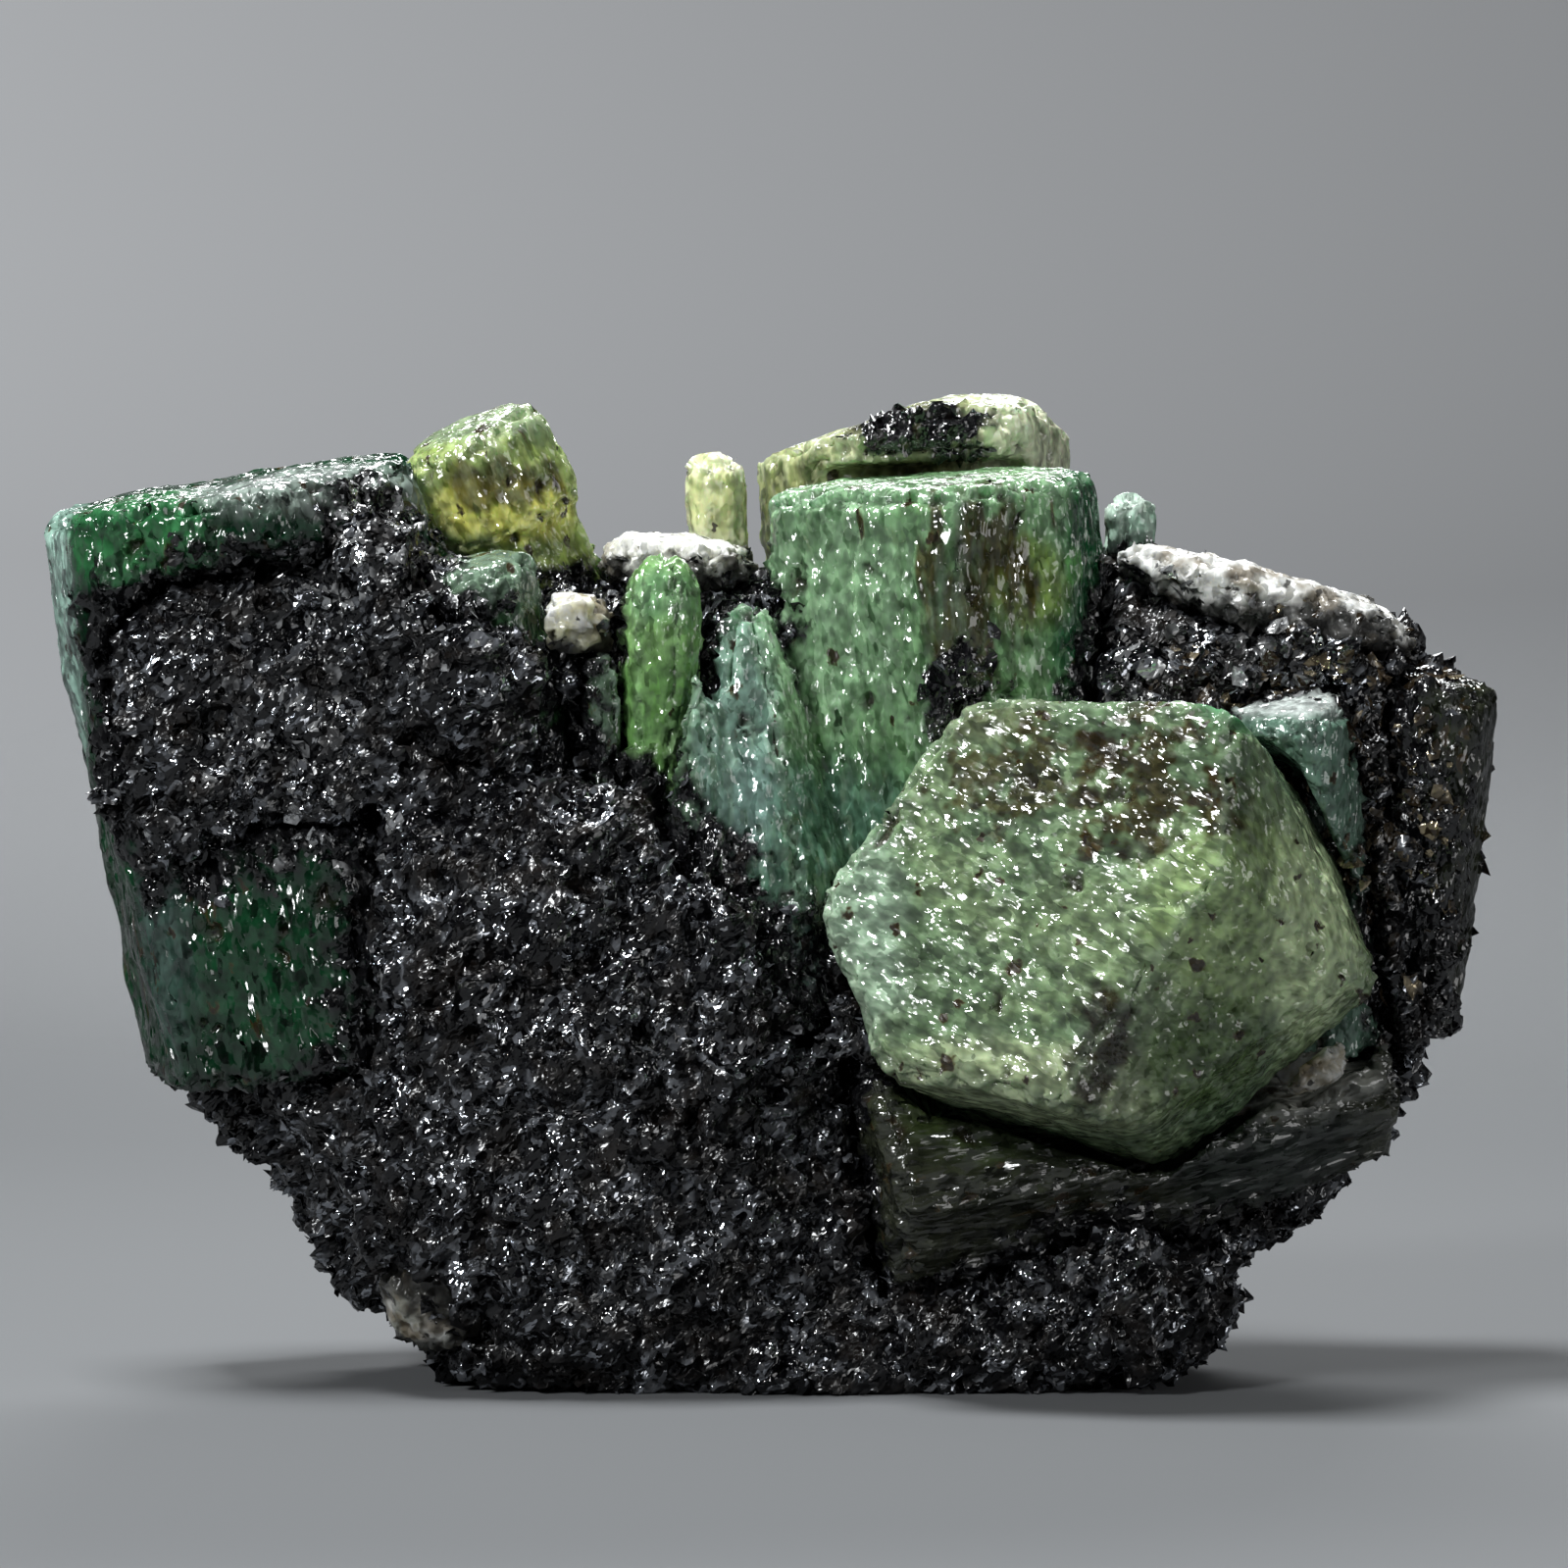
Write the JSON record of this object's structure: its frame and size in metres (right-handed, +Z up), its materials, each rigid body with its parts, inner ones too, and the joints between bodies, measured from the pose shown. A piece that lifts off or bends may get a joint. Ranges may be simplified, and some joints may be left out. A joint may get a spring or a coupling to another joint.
{
  "type": "emerald in matrix",
  "caption": "Hand-size mineral specimen: six-sided green emerald and beryl prisms grown through a block of glittering black mica schist, standing on its flat broken base.",
  "frame": {"origin": "on the flat broken underside of the matrix, under the middle of the specimen", "axes": "+Z up, +X along the longest side toward the small end crystal, -Y toward the display side with the big six-sided end face"},
  "size_m": [0.0601, 0.0309, 0.0415],
  "materials": {
    "mica_matrix": "glittering mica flakes",
    "crystal_left": "glassy",
    "crystal_tilted": "glassy",
    "crystal_middle": "glassy",
    "crystal_finger": "glassy",
    "crystal_sliver": "glassy",
    "crystals_central": "glassy",
    "crystal_back": "glassy",
    "crystal_pale_stub": "glassy",
    "crystal_small_right": "glassy",
    "crystal_front": "glassy",
    "crystal_right_inner": "glassy",
    "crystal_right_end": "glassy",
    "crystal_lower": "glassy",
    "quartz_upper": "glassy",
    "quartz_right": "glassy",
    "quartz_lower": "glassy",
    "feldspar_ridge": "pearly",
    "feldspar_saddle": "pearly"
  },
  "bodies": {
    "root": {"mica_matrix": "mica_matrix", "crystal_left": "crystal_left", "crystal_tilted": "crystal_tilted", "crystal_middle": "crystal_middle", "crystal_finger": "crystal_finger", "crystal_sliver": "crystal_sliver", "crystals_central": "crystals_central", "crystal_back": "crystal_back", "crystal_pale_stub": "crystal_pale_stub", "crystal_small_right": "crystal_small_right", "crystal_front": "crystal_front", "crystal_right_inner": "crystal_right_inner", "crystal_right_end": "crystal_right_end", "crystal_lower": "crystal_lower", "quartz_upper": "quartz_upper", "quartz_right": "quartz_right", "quartz_lower": "quartz_lower", "feldspar_ridge": "feldspar_ridge", "feldspar_saddle": "feldspar_saddle"}
  },
  "joints": []
}
